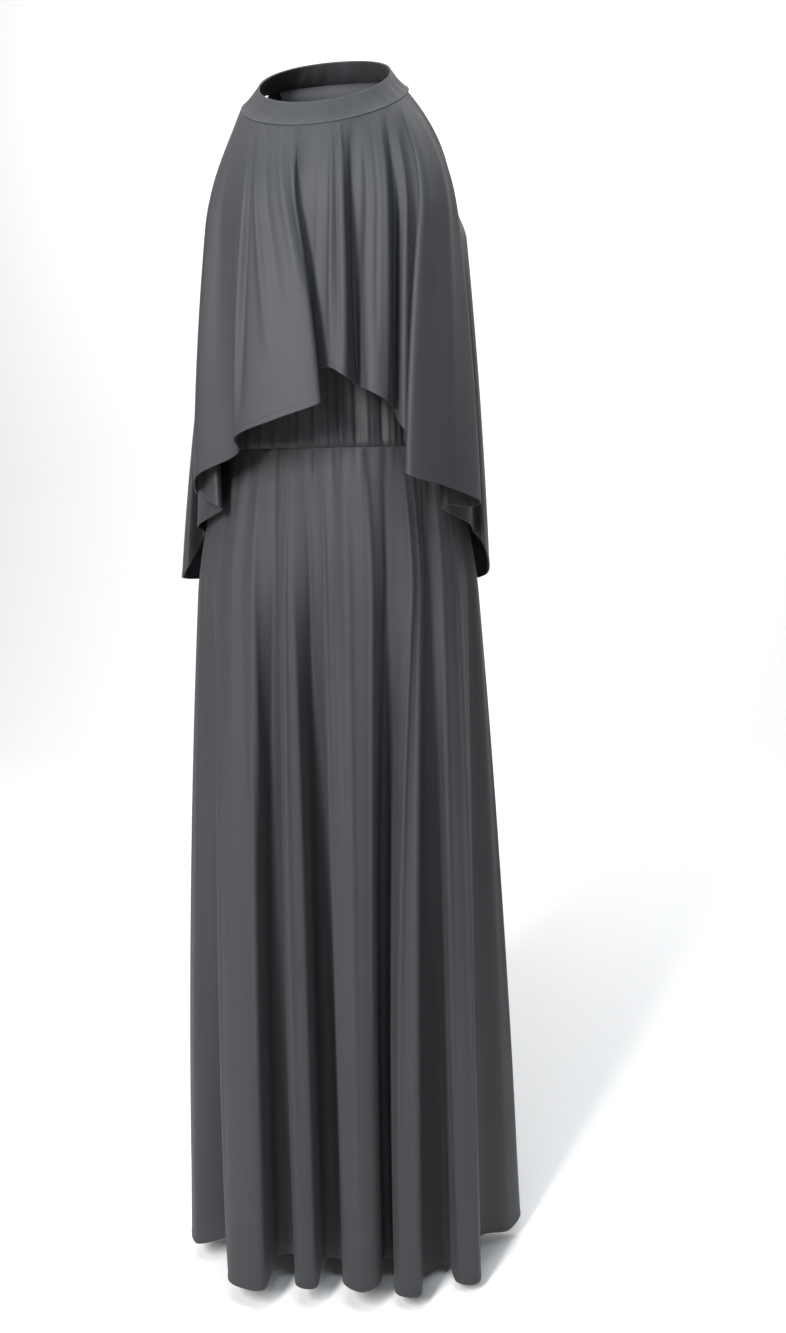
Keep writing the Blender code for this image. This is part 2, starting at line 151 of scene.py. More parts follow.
def downRows(count, drop, top):
    # shares down the cloth: even rows, with closer ones at the hem fold and the top seam
    near = np.array([0.0, 0.0006, 0.0016, 0.003, 0.0045, 0.0056, 0.0064, 0.0072, 0.009]) / drop
    even = np.linspace(0.0, 1.0, count)
    rows = np.concatenate([even[(even < 1.0 - 0.011 / drop)], 1.0 - near])
    if top:
        rows = np.concatenate([rows, np.array([0.0008, 0.002, 0.004]) / drop])
    return np.unique(rows)


def creases(across, down, rows):
    # sum of height * bell of (across - centre) / width, fading in and out along each crease
    total = np.zeros((len(across), len(down)))
    for name, topAt, endAt, start, stop, height, width in rows:
        share = np.clip((down - start) / (stop - start), 0.0, 1.0)
        centre = topAt + (endAt - topAt) * share
        fade = np.sin(np.pi * share) ** 0.7 * ((down > start) & (down < stop))
        total += height * fade[None, :] * np.exp(-(((across[:, None] - centre[None, :]) / width) ** 2))
    return total


def gathers(across, down, count, depth, fall, seed):
    # uneven small waves at the seam: cosines of drifting pitch, dying away as exp(-down / fall)
    rng = np.random.default_rng(seed)
    total = np.zeros((len(across), len(down)))
    for share in (1.0, 0.62, 1.47, 2.1):
        phase = rng.uniform(0.0, 6.28, 4)
        drift = 0.9 * np.sin(across * 0.021 + phase[0]) + 0.7 * np.sin(across * 0.047 + phase[1])
        wave = np.cos(np.radians(across) * count * share + 2.6 * drift + phase[2])
        size = 0.65 + 0.35 * np.sin(across * 0.06 + phase[3])
        reach = fall / share * (1.0 + 0.45 * np.sin(across * 0.11 + 5.0 * phase[3]))
        total += (wave * size / share)[:, None] * np.exp(-down[None, :] / reach[:, None])
    return total * depth


def sheetNormals(grid, closed, start=None, finish=None):
    # crosswise slope from neighbours, downward slope by rows; start and finish are set by seams
    if closed:
        along = np.roll(grid, -1, axis=0) - np.roll(grid, 1, axis=0)
    else:
        along = grid[2:] - grid[:-2]
        grid = grid[1:-1]
    along = unit(along)
    downward = unit(np.gradient(grid, axis=1))
    if start is not None:
        downward[:, 0] = start
    if finish is not None:
        downward[:, -1] = finish
    return unit(np.cross(downward, along)), along


def pushOut(grid, amount, closed=False):
    # each point moves along its own normal; spare columns move with their neighbours
    normal = sheetNormals(grid, closed)[0]
    if not closed:
        normal = np.concatenate([normal[:1], normal, normal[-1:]])
    return grid + normal * amount[..., None]


def softWobble(across, down, depth, seed):
    # slow uneven waves that keep a hanging cloth from looking ruled
    rng = np.random.default_rng(seed)
    total = np.zeros((len(across), len(down)))
    for step in range(7):
        a, b, phase = rng.uniform(0.015, 0.09), rng.uniform(1.5, 7.0), rng.uniform(0.0, 6.28)
        total += np.sin(across[:, None] * a + down[None, :] * b + phase) / 7.0
    return total * depth * np.clip(down / 0.1, 0.0, 1.0)[None, :]


def sheetShell(name, grid, wall, closed, material, start=None, finish=None, hem=False):
    # outer and inner faces half a wall each way, joined round the edges; the hem is folded thicker
    normal, along = sheetNormals(grid, closed, start, finish)
    if not closed:
        grid = grid[1:-1].copy()
        grid[0] += along[0] * 0.5 * cloth["seamGap"]
        grid[-1] -= along[-1] * 0.5 * cloth["seamGap"]
    columns, rows = grid.shape[:2]
    stepDown = np.linalg.norm(np.diff(grid, axis=1), axis=2)
    stepAcross = np.linalg.norm(np.diff(grid, axis=0), axis=2)
    lengthDown = np.concatenate([np.zeros((columns, 1)), np.cumsum(stepDown, axis=1)], axis=1)
    widest = np.concatenate([[0.0], np.cumsum(stepAcross[:, int(rows * 0.6)])])
    fromHem = lengthDown[:, -1:] - lengthDown
    half = 0.5 * wall
    if hem:
        edge = (cloth["hemWidth"] - fromHem) / 0.0008
        half = half + 0.5 * cloth["hemExtra"] / (1.0 + np.exp(-np.clip(edge, -30.0, 30.0)))
    half = np.broadcast_to(half, (columns, rows))[..., None]
    outer, inner = grid + normal * half, grid - normal * half
    points = np.concatenate([outer.reshape(-1, 3), inner.reshape(-1, 3)])
    index = np.arange(columns * rows).reshape(columns, rows)
    if closed:
        index = np.concatenate([index, index[:1]])
    a, b = index[:-1, :-1].ravel(), index[1:, :-1].ravel()
    c, d = index[1:, 1:].ravel(), index[:-1, 1:].ravel()
    back = columns * rows
    faces = [np.stack([a, d, c, b], axis=1), np.stack([a, b, c, d], axis=1) + back]
    rims = [(index[:, 0], False), (index[:, -1], True)]
    if not closed:
        rims += [(index[0], True), (index[-1], False)]
    for line, flip in rims:
        e, f = line[:-1], line[1:]
        rim = np.stack([e, f, f + back, e + back], axis=1)
        faces.append(rim[:, ::-1] if flip else rim)
    broad = 2 * len(a)
    faces = np.concatenate(faces)
    corner = points[faces]
    volume = np.einsum("ij,ij->i", corner[:, 0], np.cross(corner[:, 1], corner[:, 2])).sum()
    volume += np.einsum("ij,ij->i", corner[:, 0], np.cross(corner[:, 2], corner[:, 3])).sum()
    if volume < 0.0:
        faces = faces[:, ::-1]
    mesh = bpy.data.meshes.new(name)
    mesh.vertices.add(len(points))
    mesh.vertices.foreach_set("co", points.ravel())
    mesh.loops.add(faces.size)
    mesh.loops.foreach_set("vertex_index", faces.ravel().astype(np.int32))
    mesh.polygons.add(len(faces))
    mesh.polygons.foreach_set("loop_start", np.arange(0, faces.size, 4, dtype=np.int32))
    mesh.update(calc_edges=True)
    smooth = np.zeros(len(faces), dtype=bool)
    smooth[:broad] = True
    mesh.polygons.foreach_set("use_smooth", smooth)
    across = np.broadcast_to(widest[:, None], (columns, rows))
    clothMap = np.stack([across, lengthDown], axis=-1).reshape(-1, 2)
    edgeMap = np.stack([fromHem, np.zeros_like(fromHem)], axis=-1).reshape(-1, 2)
    for label, values in (("cloth", clothMap), ("edge", edgeMap)):
        layer = mesh.uv_layers.new(name=label)
        values = np.concatenate([values, values])[faces.ravel()]
        layer.uv.foreach_set("vector", values.ravel().astype(np.float32))
    mesh.materials.append(material)
    mesh.validate()
    piece = bpy.data.objects.new(name, mesh)
    bpy.context.scene.collection.objects.link(piece)
    tall = 0.5 * (stepDown[1:] + stepDown[:-1])
    wide = 0.5 * (stepAcross[:, 1:] + stepAcross[:, :-1])
    area = float((tall * wide).sum())
    widths = [round(float(stepAcross[:, row].sum()), 3) for row in (0, -1)]
    lengths = [round(float(value), 3) for value in (lengthDown[:, -1].mean(), lengthDown[:, -1].max())]
    print(name, "triangles", 2 * len(faces), "area", round(area, 3))
    print("  top and hem widths", widths, "mean and greatest length", lengths)
    return piece


# The jersey's face, shared by every piece: a fine knit, a little melange and a broad unevenness
def link(tree, a, b):
    # joins output a to input b
    tree.links.new(a, b)


def mathNode(tree, kind, a, b=None, c=None):
    # one sum of up to three values, each a number or another node's output
    node = tree.nodes.new("ShaderNodeMath")
    node.operation = kind
    for slot, value in zip(node.inputs, (a, b, c)):
        if value is None:
            continue
        if isinstance(value, (int, float)):
            slot.default_value = value
        else:
            link(tree, value, slot)
    return node.outputs[0]


knit = {
    "wales": 5700.0,  # radians to a metre across
    "courses": 7400.0,  # radians to a metre down
    "fineScale": 1400.0,
    "broadScale": 9.0,
    "streakScale": 60.0,
    "streakStretch": 0.12,
    "tone": {"fine": 0.38, "broad": 0.44, "streak": 0.18},
    "roughness": {"least": 0.50, "broad": 0.16, "loops": 0.06},
    "height": {"streak": 0.35, "loops": 0.35, "fine": 0.25},
}
stitch = {
    "halfWidth": 0.00045,
    "fromFold": 0.0005,  # from the fold's inner edge
    "dashes": 2416.0,  # radians to a metre
    "dashCut": -0.55,
    "sink": -1.6,
}


def noiseNode(tree, scale, detail):
    # a noise of the given scale and detail
    node = tree.nodes.new("ShaderNodeTexNoise")
    node.inputs["Scale"].default_value = scale
    node.inputs["Detail"].default_value = detail
    return node


def jerseyGroup():
    # tone, roughness and height as sums of fine, broad and streaky noise and the sines of the knit
    tree = bpy.data.node_groups.new("jersey face", "ShaderNodeTree")
    for label in ("Tone", "Roughness", "Height"):
        tree.interface.new_socket(name=label, in_out="OUTPUT", socket_type="NodeSocketFloat")
    exitNode = tree.nodes.new("NodeGroupOutput")
    place = tree.nodes.new("ShaderNodeUVMap")
    place.uv_map = "cloth"
    axes = tree.nodes.new("ShaderNodeSeparateXYZ")
    link(tree, place.outputs[0], axes.inputs[0])
    wales = mathNode(tree, "SINE", mathNode(tree, "MULTIPLY", axes.outputs[0], knit["wales"]))
    courses = mathNode(tree, "SINE", mathNode(tree, "MULTIPLY", axes.outputs[1], knit["courses"]))
    loops = mathNode(tree, "MULTIPLY_ADD", mathNode(tree, "MULTIPLY", wales, courses), 0.5, 0.5)
    fine = noiseNode(tree, knit["fineScale"], 2.0)
    broad = noiseNode(tree, knit["broadScale"], 3.0)
    streak = noiseNode(tree, knit["streakScale"], 3.0)
    stretch = tree.nodes.new("ShaderNodeMapping")
    stretch.inputs["Scale"].default_value = (1.0, knit["streakStretch"], 1.0)
    link(tree, place.outputs[0], stretch.inputs["Vector"])
    link(tree, stretch.outputs[0], streak.inputs["Vector"])
    for node in (fine, broad):
        link(tree, place.outputs[0], node.inputs["Vector"])
    share = knit["tone"]
    tone = mathNode(tree, "MULTIPLY", broad.outputs[0], share["broad"])
    tone = mathNode(tree, "MULTIPLY_ADD", fine.outputs[0], share["fine"], tone)
    tone = mathNode(tree, "MULTIPLY_ADD", streak.outputs[0], share["streak"], tone)
    link(tree, tone, exitNode.inputs["Tone"])
    share = knit["roughness"]
    rough = mathNode(tree, "MULTIPLY_ADD", broad.outputs[0], share["broad"], share["least"])
    rough = mathNode(tree, "MULTIPLY_ADD", loops, share["loops"], rough)
    link(tree, rough, exitNode.inputs["Roughness"])
    share = knit["height"]
    height = mathNode(tree, "MULTIPLY", loops, share["loops"])
    height = mathNode(tree, "MULTIPLY_ADD", streak.outputs[0], share["streak"], height)
    height = mathNode(tree, "MULTIPLY_ADD", fine.outputs[0], share["fine"], height)
    link(tree, height, exitNode.inputs["Height"])
    return tree


def stitchGroup():
    # mask = near the set distance from the hem, times sine of the way across > the dash's cut
    tree = bpy.data.node_groups.new("stitch line", "ShaderNodeTree")
    tree.interface.new_socket(name="Distance", in_out="INPUT", socket_type="NodeSocketFloat")
    tree.interface.new_socket(name="Mask", in_out="OUTPUT", socket_type="NodeSocketFloat")
    entry, exitNode = tree.nodes.new("NodeGroupInput"), tree.nodes.new("NodeGroupOutput")
    place, edge = tree.nodes.new("ShaderNodeUVMap"), tree.nodes.new("ShaderNodeUVMap")
    place.uv_map, edge.uv_map = "cloth", "edge"
    axes, edgeAxes = tree.nodes.new("ShaderNodeSeparateXYZ"), tree.nodes.new("ShaderNodeSeparateXYZ")
    link(tree, place.outputs[0], axes.inputs[0])
    link(tree, edge.outputs[0], edgeAxes.inputs[0])
    away = mathNode(tree, "SUBTRACT", edgeAxes.outputs[0], entry.outputs["Distance"])
    line = mathNode(tree, "LESS_THAN", mathNode(tree, "ABSOLUTE", away), stitch["halfWidth"])
    wave = mathNode(tree, "SINE", mathNode(tree, "MULTIPLY", axes.outputs[0], stitch["dashes"]))
    dash = mathNode(tree, "GREATER_THAN", wave, stitch["dashCut"])
    link(tree, mathNode(tree, "MULTIPLY", line, dash), exitNode.inputs["Mask"])
    return tree


jerseyFace, stitchLine = jerseyGroup(), stitchGroup()

dye = {
    "deep": (0.021, 0.0222, 0.0248),
    "raised": (0.0325, 0.0345, 0.0380),
    # the next factor darkens the bodice's colour: painted shade for the piece that hangs under the flounce
    "bodicePaintedShade": 0.92,
    "threadShade": 0.55,
    "sheen": 0.05,
    "sheenRoughness": 0.42,
    "specular": 0.35,
    "bumpStrength": 0.5,
    "bumpDistance": 0.0006,
}


def jerseyMaterial(name, paintedShadeFactor, stitched):
    # colour = deep to raised by tone, times a factor that paints shade on the bodice under the flounce (one
    # elsewhere); darker under the thread
    material = bpy.data.materials.new(name)
    material.use_nodes = True
    tree = material.node_tree
    shader = tree.nodes["Principled BSDF"]
    face = tree.nodes.new("ShaderNodeGroup")
    face.node_tree = jerseyFace
    mix = tree.nodes.new("ShaderNodeMix")
    mix.data_type = "RGBA"
    mix.inputs["A"].default_value = (*[value * paintedShadeFactor for value in dye["deep"]], 1.0)
    mix.inputs["B"].default_value = (*[value * paintedShadeFactor for value in dye["raised"]], 1.0)
    link(tree, face.outputs["Tone"], mix.inputs["Factor"])
    colour = mix.outputs["Result"]
    height = face.outputs["Height"]
    if stitched:
        thread = tree.nodes.new("ShaderNodeGroup")
        thread.node_tree = stitchLine
        thread.inputs["Distance"].default_value = cloth["hemWidth"] - stitch["fromFold"]
        darker = tree.nodes.new("ShaderNodeMix")
        darker.data_type = "RGBA"
        darker.blend_type = "MULTIPLY"
        darker.inputs["B"].default_value = (dye["threadShade"],) * 3 + (1.0,)
        link(tree, thread.outputs["Mask"], darker.inputs["Factor"])
        link(tree, colour, darker.inputs["A"])
        colour = darker.outputs["Result"]
        height = mathNode(tree, "MULTIPLY_ADD", thread.outputs["Mask"], stitch["sink"], height)
    link(tree, colour, shader.inputs["Base Color"])
    link(tree, face.outputs["Roughness"], shader.inputs["Roughness"])
    bump = tree.nodes.new("ShaderNodeBump")
    bump.inputs["Strength"].default_value = dye["bumpStrength"]
    bump.inputs["Distance"].default_value = dye["bumpDistance"]
    link(tree, height, bump.inputs["Height"])
    link(tree, bump.outputs["Normal"], shader.inputs["Normal"])
    shader.inputs["Sheen Weight"].default_value = dye["sheen"]
    shader.inputs["Sheen Roughness"].default_value = dye["sheenRoughness"]
    shader.inputs["Specular IOR Level"].default_value = dye["specular"]
    return material


jersey = jerseyMaterial("charcoal jersey, hemmed", 1.0, True)
jerseyPlain = jerseyMaterial("charcoal jersey", 1.0, False)
# the bodice's copy of the jersey is darkened: painted shade under the flounce
jerseyPaintedShadeBodice = jerseyMaterial("charcoal jersey, bodice, painted shade", dye["bodicePaintedShade"], False)
print("materials ready")

# Neckband
band = {
    "upper": {"side": 0.0745, "front": 0.0760, "back": 0.0760},
    "lower": {"side": 0.0950, "front": 0.0985, "back": 0.0960},
    "upperHeight": {"front": -0.0385, "side": 0.0080, "back": 0.0500},
    "lowerHeight": {"front": -0.0675, "side": -0.0130, "back": 0.0300},
    "roll": 0.0026,
    "columns": 420,
    "rows": 26,
    "ripples": [(0.0005, 0.21, 0.0), (0.0003, 0.53, 1.0)],  # height, turns, start
}


def bandPoint(angle, share):
    # lower edge to upper edge, bowed by roll * 4 * share * (1 - share)
    low = polar(angle, ovalRadius(angle, band["lower"]), ringHeight(angle, band["lowerHeight"]))
    high = polar(angle, ovalRadius(angle, band["upper"]), ringHeight(angle, band["upperHeight"]))
    share = np.asarray(share)[..., None]
    bow = band["roll"] * 4.0 * share * (1.0 - share)
    return low + (high - low) * share - np.array([0.0, 0.0, 1.0]) * bow


def bandInside(angle, share, depth):
    # the strip's point - outward * depth, under its inner face, and the way down along the strip
    low = bandPoint(angle, np.full_like(angle, share))
    high = bandPoint(angle, np.full_like(angle, share + 0.05))
    down = unit(low - high)
    around = np.stack([np.cos(angle), np.sin(angle), np.zeros_like(angle)], axis=-1)
    outward = unit(np.cross(down, around))
    return low - outward * np.sign(outward[..., 2:]) * depth, down


around = np.linspace(0.0, 2.0 * np.pi, band["columns"], endpoint=False)
bandShare = np.linspace(1.0, 0.0, band["rows"])
bandGrid = bandPoint(
    np.repeat(around[:, None], band["rows"], axis=1), np.repeat(bandShare[None, :], band["columns"], axis=0)
)
bandTurn = np.degrees(around)
ripple = np.zeros((band["columns"], band["rows"]))
for height, turns, begin in band["ripples"]:
    ripple += height * np.sin(bandTurn * turns + begin)[:, None] * np.sin(np.pi * bandShare)[None, :]
bandGrid = pushOut(bandGrid, ripple, closed=True)
neckband = sheetShell("neckband_cloth", bandGrid, cloth["bandWall"], True, jerseyPlain)

# Bodice
bodice = {
    "waistOval": {"side": 0.1340, "front": 0.1110, "back": 0.1050},
    "waistHeight": -0.4040,
    "underarm": -0.1750,
    "tuck": 0.10,
    "frontEdge": 82.0,
    "frontCut": 9.0,
    "backEdge": 132.0,
    "backCut": 16.0,
    "split": 0.5,
    "gathers": 46,
    "gatherDepth": 0.0017,
    "gatherReach": 0.30,
    "columns": 300,
    "rows": 60,
}
bodiceSections = [
    # share down, side, front, back
    (0.00, 0.0875, 0.0910, 0.0885),
    (0.18, 0.1080, 0.1020, 0.0980),
    (0.40, 0.1290, 0.1160, 0.1050),
    (0.58, 0.1300, 0.1140, 0.1040),
    (0.80, 0.1310, 0.1100, 0.1030),
    (1.00, 0.1340, 0.1110, 0.1050),
]


def bodiceGrid(panel):
    # sections by share down; the edge runs from the neckband, cut in, to the side seam
    table = np.array(bodiceSections)
    down = np.linspace(0.0, 1.0, bodice["rows"])
    high = np.clip(down / bodice["split"], 0.0, 1.0)
    curve = high * high * (3.0 - 2.0 * high)
    bulge = np.sin(np.pi * high**2) * (high < 1.0)
    if panel == "front":
        edge = bodice["frontEdge"] + (90.0 - bodice["frontEdge"]) * curve - bodice["frontCut"] * bulge
        centre = 0.0
    else:
        edge = bodice["backEdge"] + (90.0 - bodice["backEdge"]) * curve + bodice["backCut"] * bulge
        edge = 180.0 - edge
        centre = 180.0
    across = beyond(np.linspace(-1.0, 1.0, bodice["columns"]))[:, None]
    angle = radians(centre + across * edge[None, :])
    neckHeight = ringHeight(angle[:, :1], band["lowerHeight"])
    low = bodice["waistHeight"] + 0.5 * cloth["seamGap"]
    under = (down - bodice["split"]) / (1.0 - bodice["split"])
    height = np.where(
        down[None, :] < bodice["split"],
        neckHeight + (bodice["underarm"] - neckHeight) * high[None, :],
        bodice["underarm"] + (low - bodice["underarm"]) * under[None, :],
    )
    oval = {}
    for place, key in enumerate(("side", "front", "back")):
        values = np.interp(down, table[:, 0], table[:, place + 1])
        smooth = np.convolve(np.pad(values, 6, mode="edge"), np.ones(13) / 13.0, mode="valid")
        ease = np.clip(np.minimum(down, 1.0 - down) / 0.1, 0.0, 1.0)
        oval[key] = (values + (smooth - values) * ease)[None, :]
    grid = polar(angle, ovalRadius(angle, oval), height)
    depth = 0.5 * cloth["bandWall"] + cloth["seamGap"] + 0.5 * cloth["wall"]
    grid[:, 0], start = bandInside(angle[:, 0], bodice["tuck"], depth)
    reach = 1.0 - down
    turned = np.degrees(angle[:, -1])
    waves = gathers(turned, reach, bodice["gathers"], bodice["gatherDepth"], bodice["gatherReach"], 5)
    fade = np.clip(reach / 0.02, 0.0, 1.0) * np.clip((down - 0.30) / 0.3, 0.0, 1.0)
    waves = waves * fade[None, :]
    return pushOut(grid, waves), start[1:-1]


plumb = np.array([0.0, 0.0, -1.0])
bodiceFrontGrid, bodiceFrontStart = bodiceGrid("front")
bodiceBackGrid, bodiceBackStart = bodiceGrid("back")
bodiceFront = sheetShell(
    "bodice_front_cloth", bodiceFrontGrid, cloth["wall"], False, jerseyPaintedShadeBodice, bodiceFrontStart, plumb
)
bodiceBack = sheetShell(
    "bodice_back_cloth", bodiceBackGrid, cloth["wall"], False, jerseyPaintedShadeBodice, bodiceBackStart, plumb
)

# Flounce
flounce = {
    "bustHeight": -0.1650,
    "bustShare": 0.34,
    "flare": 0.30,
    "leaveLeft": 1.45,
    "leaveRight": 2.30,
    "frontEdge": 91.0,
    "backEdge": 124.0,
    "frontCut": 5.0,
    "backCut": 17.0,
    "cutSpread": 3.0,
    "frontColumns": 460,
    "backColumns": 420,
    "rows": 80,
    "wobble": 0.0012,
    "drop": 0.42,
    "pleats": 30,
    "pleatDepth": 0.00018,
    "pleatFall": 0.12,
    "pleatStart": 0.01,
    "edgeSpread": 0.6,
}
flounceFront = [
    # name, neck angle, bust angle, bust radius, hem angle, hem radius, hem height
    ("left seam", -91.0, -90.0, 0.1390, -90.0, 0.1680, -0.5050),
    ("left inner side", -85.0, -82.0, 0.1380, -75.0, 0.1670, -0.4920),
    ("left inner back", -80.0, -75.0, 0.1365, -57.0, 0.1500, -0.4760),
    ("left inner round", -75.5, -69.0, 0.1385, -47.0, 0.1520, -0.4700),
    ("left inner front", -71.5, -64.0, 0.1420, -46.0, 0.1590, -0.4660),
    ("left inner bend", -68.0, -60.5, 0.1435, -58.5, 0.1630, -0.4560),
    ("left inner turn", -65.5, -58.0, 0.1460, -59.5, 0.1690, -0.4520),
    ("left ridge", -61.0, -51.0, 0.1475, -51.5, 0.1760, -0.4330),
    ("left return", -50.0, -37.0, 0.1400, -31.0, 0.1560, -0.4080),
    ("left panel edge", -43.0, -24.5, 0.1500, -26.0, 0.1740, -0.3920),
    ("left panel", -26.0, -15.0, 0.1520, -8.0, 0.1740, -0.3740),
    ("left panel end", -9.0, -1.0, 0.1480, 7.0, 0.1710, -0.3590),
    ("left panel turn", -5.5, -1.5, 0.1425, 5.5, 0.1640, -0.3550),
    ("left under fold", -1.0, -3.5, 0.1380, -6.0, 0.1530, -0.3440),
    ("centre valley", 6.0, 4.0, 0.1320, 2.0, 0.1370, -0.3260),
    ("centre ridge", 14.0, 12.0, 0.1370, 10.0, 0.1440, -0.3210),
    ("centre step", 20.0, 17.0, 0.1410, 16.5, 0.1510, -0.3310),
    ("right valley", 30.0, 26.0, 0.1260, 24.5, 0.1240, -0.3390),
    ("right panel edge", 38.0, 31.0, 0.1420, 26.0, 0.1530, -0.3460),
    ("right panel", 46.0, 36.0, 0.1460, 33.0, 0.1570, -0.3570),
    ("dark valley", 53.0, 43.5, 0.1340, 41.5, 0.1330, -0.3670),
    ("narrow strip", 57.5, 47.0, 0.1430, 41.0, 0.1540, -0.3860),
    ("right under fold", 61.5, 52.0, 0.1450, 51.0, 0.1560, -0.4080),
    ("right under turn", 64.5, 53.5, 0.1495, 51.5, 0.1640, -0.4170),
    ("outer panel edge", 67.5, 49.5, 0.1560, 38.5, 0.1685, -0.4310),
    ("outer panel start", 69.5, 50.0, 0.1610, 38.0, 0.1755, -0.4350),
    ("outer panel", 72.0, 62.0, 0.1620, 54.0, 0.1810, -0.4490),
    ("outer ridge", 75.0, 73.0, 0.1610, 76.0, 0.1830, -0.4690),
    ("right inner turn", 78.0, 78.0, 0.1550, 79.0, 0.1690, -0.4740),
    ("right inner front", 80.5, 79.0, 0.1510, 62.0, 0.1610, -0.4700),
    ("right inner round", 82.5, 80.5, 0.1470, 62.5, 0.1535, -0.4730),
    ("right inner back", 85.0, 83.0, 0.1440, 70.0, 0.1485, -0.4790),
    ("right inner side", 88.0, 87.0, 0.1470, 84.0, 0.1630, -0.4940),
]
flounceBack = [
    # name, neck angle, bust angle, bust radius, hem angle, hem radius, hem height
    ("right seam", 87.0, 90.0, 0.1510, 96.0, 0.1660, -0.5080),
    ("right drop edge", 128.0, 96.0, 0.1550, 93.0, 0.1760, -0.5200),
    ("right drop", 133.0, 105.0, 0.1570, 110.0, 0.1870, -0.5600),
    ("back valley 1", 140.0, 117.0, 0.1450, 121.0, 0.1700, -0.5720),
    ("back ridge 1", 147.0, 128.0, 0.1410, 133.0, 0.1880, -0.5800),
    ("back valley 2", 155.0, 141.0, 0.1270, 147.0, 0.1600, -0.5860),
    ("back ridge 2", 164.0, 153.0, 0.1300, 157.0, 0.1800, -0.5920),
    ("back valley 3", 172.0, 166.0, 0.1230, 171.0, 0.1530, -0.5950),
    ("back ridge 3", 181.0, 179.0, 0.1280, 183.0, 0.1780, -0.5960),
    ("back valley 4", 190.0, 192.0, 0.1230, 197.0, 0.1530, -0.5940),
    ("back ridge 4", 200.0, 206.0, 0.1310, 210.0, 0.1820, -0.5890),
    ("back valley 5", 209.0, 219.0, 0.1290, 223.0, 0.1620, -0.5800),
    ("back ridge 5", 217.0, 232.0, 0.1370, 236.0, 0.1900, -0.5720),
    ("back valley 6", 224.0, 245.0, 0.1350, 248.0, 0.1730, -0.5640),
    ("left drop", 229.0, 257.0, 0.1450, 266.0, 0.2010, -0.5600),
    ("left drop edge", 232.0, 265.0, 0.1450, 277.0, 0.1880, -0.5480),
]
flounceCreases = [
    # name, neck angle at the top, at the end, from share, to share, height, width
    ("left outer roll", -62.0, -62.0, 0.06, 0.98, 0.0022, 2.0),
    ("left outer hollow", -55.0, -56.0, 0.08, 0.85, -0.0024, 2.4),
    ("left panel ridge", -42.5, -43.0, 0.05, 0.99, 0.0044, 1.2),
    ("left panel hollow", -38.5, -39.5, 0.06, 0.95, -0.0034, 1.6),
    ("left soft roll", -32.0, -28.0, 0.01, 0.80, 0.0030, 2.1),
    ("left second hollow", -25.0, -21.5, 0.01, 0.70, -0.0025, 2.3),
    ("left third roll", -17.5, -14.0, 0.01, 0.62, 0.0026, 1.9),
    ("left edge hollow", -12.0, -9.0, 0.02, 0.60, -0.0016, 1.4),
    ("left fold edge", -6.0, -7.5, 0.05, 0.99, 0.0016, 1.2),
    ("chest hollow", 3.0, 2.0, 0.03, 0.80, -0.0020, 2.6),
    ("centre roll", 9.5, 8.5, 0.05, 0.90, 0.0014, 1.4),
    ("centre fold edge", 15.5, 15.0, 0.03, 0.99, 0.0034, 1.1),
    ("centre fold groove", 18.0, 18.0, 0.04, 0.99, -0.0022, 0.9),
    ("pinch", 19.5, 21.0, 0.004, 0.12, 0.0030, 1.3),
    ("centre strip", 21.5, 21.0, 0.04, 0.99, 0.0026, 1.1),
    ("dark valley", 27.0, 28.0, 0.05, 0.99, -0.0046, 1.9),
    ("right panel roll", 35.0, 36.0, 0.02, 0.99, 0.0030, 1.5),
    ("right panel hollow", 40.5, 41.5, 0.03, 0.85, -0.0018, 1.5),
    ("right panel edge", 47.0, 46.5, 0.03, 0.99, 0.0028, 1.3),
    ("second dark valley", 53.0, 53.0, 0.03, 0.99, -0.0036, 1.5),
    ("narrow strip edge", 57.5, 57.5, 0.03, 0.98, 0.0016, 0.9),
    ("outer panel start", 68.5, 69.0, 0.02, 0.99, 0.0020, 0.8),
    ("outer panel hollow", 71.0, 71.0, 0.04, 0.75, -0.0012, 0.6),
    ("outer panel roll", 72.6, 72.3, 0.03, 0.98, 0.0022, 0.6),
    ("outer ridge", 75.0, 75.0, 0.05, 0.99, 0.0018, 0.7),
    ("back roll 1", 130.0, 130.0, 0.04, 0.99, 0.0026, 2.0),
    ("back roll 2", 147.0, 146.0, 0.02, 0.98, 0.0028, 1.6),
    ("back hollow 2", 155.0, 154.5, 0.02, 0.80, -0.0026, 1.8),
    ("back roll 3", 165.0, 164.0, 0.02, 0.98, 0.0026, 1.5),
    ("back roll 4", 181.0, 180.0, 0.02, 0.95, 0.0028, 1.7),
    ("back hollow 4", 190.0, 189.0, 0.03, 0.75, -0.0024, 1.8),
    ("back roll 5", 201.0, 200.0, 0.02, 0.98, 0.0026, 1.5),
    ("back roll 6", 217.0, 216.5, 0.02, 0.98, 0.0028, 1.6),
    ("back left roll", 229.0, 229.0, 0.04, 0.99, 0.0022, 1.2),
]


